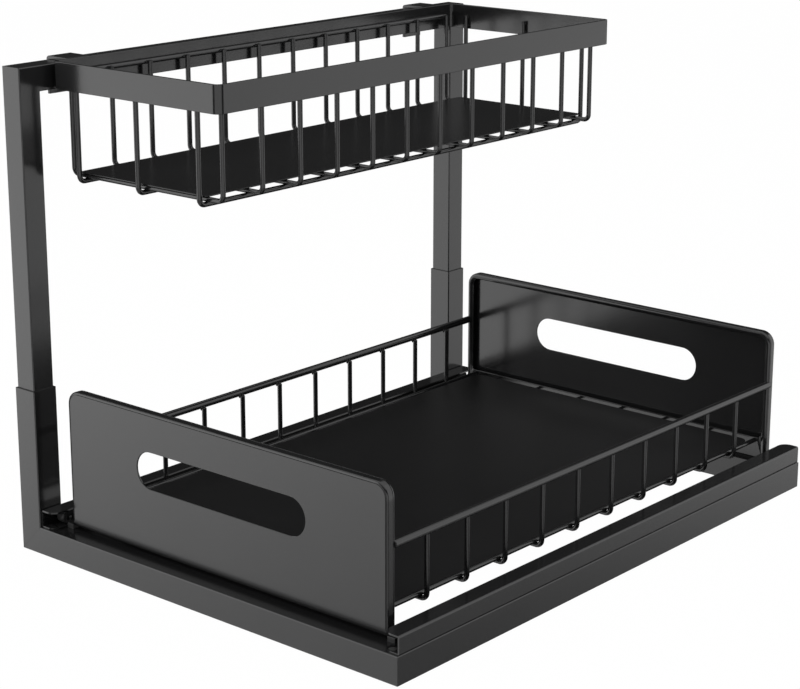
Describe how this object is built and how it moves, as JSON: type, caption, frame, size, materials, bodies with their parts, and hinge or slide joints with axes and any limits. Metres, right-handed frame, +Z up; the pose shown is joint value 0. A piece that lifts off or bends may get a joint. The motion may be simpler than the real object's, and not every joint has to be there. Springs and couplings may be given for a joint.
{
  "type": "under sink organizer",
  "caption": "Two-tier under sink organizer in black painted steel: a square-tube base with a sliding wire drawer, and a wire basket hung on an upright rear frame.",
  "frame": {"origin": "on the floor, at the middle of the whole outline seen from above", "axes": "+X along the top bar and the drawer's slide, away from the side where the drawer comes out; +Y towards the two posts; +Z up"},
  "size_m": [0.4, 0.2996, 0.2943],
  "materials": {
    "coat": "satin black powder coat",
    "wire_coat": "satin black powder coat on round wire",
    "nylon": "moulded black nylon",
    "zinc": "dull zinc plating"
  },
  "bodies": {
    "base_frame": {"left_base_tube": "coat", "right_base_tube": "coat", "front_base_tube": "coat", "rear_base_tube": "coat", "left_post_sleeve": "coat", "right_post_sleeve": "coat", "front_slide_rail": "coat", "back_slide_rail": "coat", "rail_screws": "zinc", "glide_pads": "nylon"},
    "upper_frame": {"left_upper_post": "coat", "right_upper_post": "coat", "top_bar": "coat"},
    "basket": {"basket_band": "coat", "basket_front_rod": "wire_coat", "basket_back_rod": "wire_coat", "basket_cross_wires": "wire_coat", "basket_long_wires": "wire_coat", "basket_plate": "coat", "left_hook_clip": "coat", "right_hook_clip": "coat"},
    "drawer": {"drawer_left_panel": "coat", "drawer_right_panel": "coat", "drawer_front_rod": "wire_coat", "drawer_back_rod": "wire_coat", "drawer_cross_wires": "wire_coat", "drawer_long_wires": "wire_coat", "drawer_tray": "coat", "front_runner": "coat", "back_runner": "coat", "roller_axles": "zinc"},
    "front_left_roller": {"front_left_roller": "nylon"},
    "front_right_roller": {"front_right_roller": "nylon"},
    "back_left_roller": {"back_left_roller": "nylon"},
    "back_right_roller": {"back_right_roller": "nylon"}
  },
  "joints": [
    {"name": "drawer_slide", "type": "slide", "parent": "base_frame", "child": "drawer", "axis": [-1, 0, 0], "range_m": [0, 0.28]},
    {"name": "upper_frame_lift", "type": "slide", "parent": "base_frame", "child": "upper_frame", "axis": [0, 0, 1], "range_m": [0, 0.1]},
    {"name": "basket_lift", "type": "slide", "parent": "upper_frame", "child": "basket", "axis": [0, 0, 1], "range_m": [0, 0.03]},
    {"name": "front_left_roller_spin", "type": "hinge", "parent": "drawer", "child": "front_left_roller", "pos_m": [-0.1856, -0.14365, 0.0222], "axis": [0, 1, 0], "continuous": true},
    {"name": "front_right_roller_spin", "type": "hinge", "parent": "drawer", "child": "front_right_roller", "pos_m": [0.1877, -0.14365, 0.0222], "axis": [0, 1, 0], "continuous": true},
    {"name": "back_left_roller_spin", "type": "hinge", "parent": "drawer", "child": "back_left_roller", "pos_m": [-0.1856, 0.12565, 0.0222], "axis": [0, 1, 0], "continuous": true},
    {"name": "back_right_roller_spin", "type": "hinge", "parent": "drawer", "child": "back_right_roller", "pos_m": [0.1877, 0.12565, 0.0222], "axis": [0, 1, 0], "continuous": true}
  ],
  "couplings": [
    {"joint": "front_left_roller_spin", "follows": "drawer_slide", "rad_per_m": -240.96},
    {"joint": "front_right_roller_spin", "follows": "drawer_slide", "rad_per_m": -240.96},
    {"joint": "back_left_roller_spin", "follows": "drawer_slide", "rad_per_m": -240.96},
    {"joint": "back_right_roller_spin", "follows": "drawer_slide", "rad_per_m": -240.96}
  ]
}
